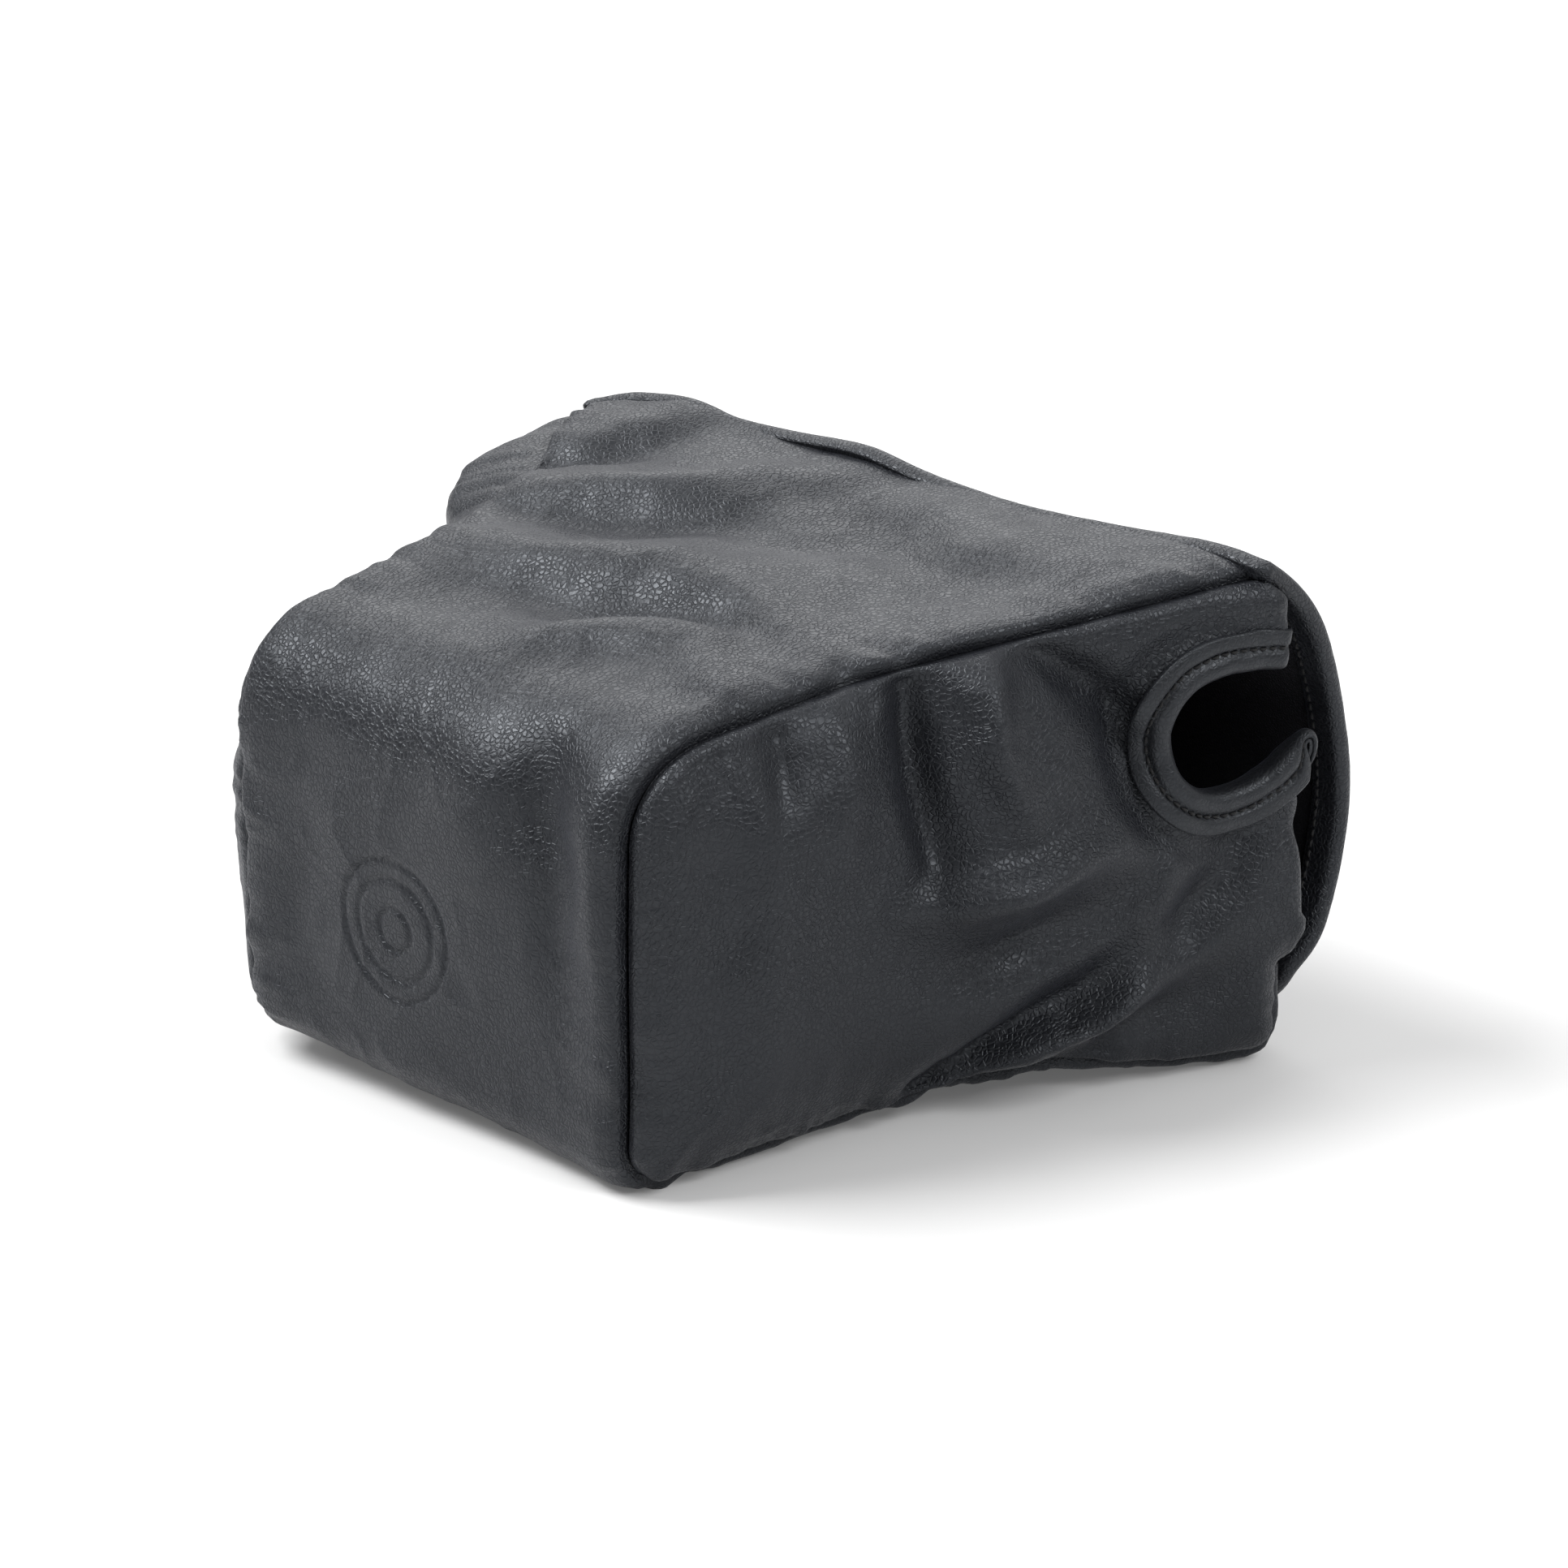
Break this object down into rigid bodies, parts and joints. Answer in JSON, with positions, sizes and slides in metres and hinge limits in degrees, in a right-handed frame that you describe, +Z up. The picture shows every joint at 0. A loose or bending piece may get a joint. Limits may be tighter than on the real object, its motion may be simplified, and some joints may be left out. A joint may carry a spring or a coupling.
{
  "type": "soft leather camera pouch",
  "caption": "Soft black leather pouch for a camera with its lens on: flared body, lens nose, rear flap that closes the mouth, strap notches and velvet lining.",
  "frame": {"origin": "on the surface it stands on, in the middle of the overall width and depth, with the flap down", "axes": "+X the pouch's right side seen from behind the camera, -Y the closed front of the nose, +Y the mouth and flap, +Z up"},
  "size_m": [0.1566, 0.1292, 0.0889],
  "materials": {
    "nappa_leather": "soft black pebble-grained nappa with a satin sheen",
    "edge_leather": "the same leather skived thin and turned over the cut edges, smoother and a little glossier",
    "foam": "thin closed-cell foam padding between leather and lining",
    "velvet_lining": "short black velvet pile",
    "thread": "twisted black polyester sewing thread",
    "loop_tape": "black woven loop tape with a fuzzy pile",
    "hook_tape": "black woven hook tape with small nylon hooks"
  },
  "bodies": {
    "pouch": {"wrap_leather": "nappa_leather", "wrap_foam": "foam", "wrap_lining": "velvet_lining", "right_gusset_leather": "nappa_leather", "right_gusset_foam": "foam", "right_gusset_lining": "velvet_lining", "right_notch_binding": "edge_leather", "right_notch_stitches": "thread", "left_gusset_leather": "nappa_leather", "left_gusset_foam": "foam", "left_gusset_lining": "velvet_lining", "left_notch_binding": "edge_leather", "left_notch_stitches": "thread", "loop_strip": "loop_tape", "loop_strip_stitches": "thread"},
    "rear_flap": {"flap_leather": "nappa_leather", "flap_foam": "foam", "flap_lining": "velvet_lining", "flap_edge_binding": "edge_leather", "flap_edge_stitches": "thread", "hinge_seam_stitches": "thread", "hook_strip": "hook_tape", "hook_strip_stitches": "thread"}
  },
  "joints": [
    {"name": "flap_hinge", "type": "hinge", "parent": "pouch", "child": "rear_flap", "pos_m": [0, 0.0434, 0.0883], "axis": [1, 0, 0], "range_deg": [0, 205]}
  ]
}
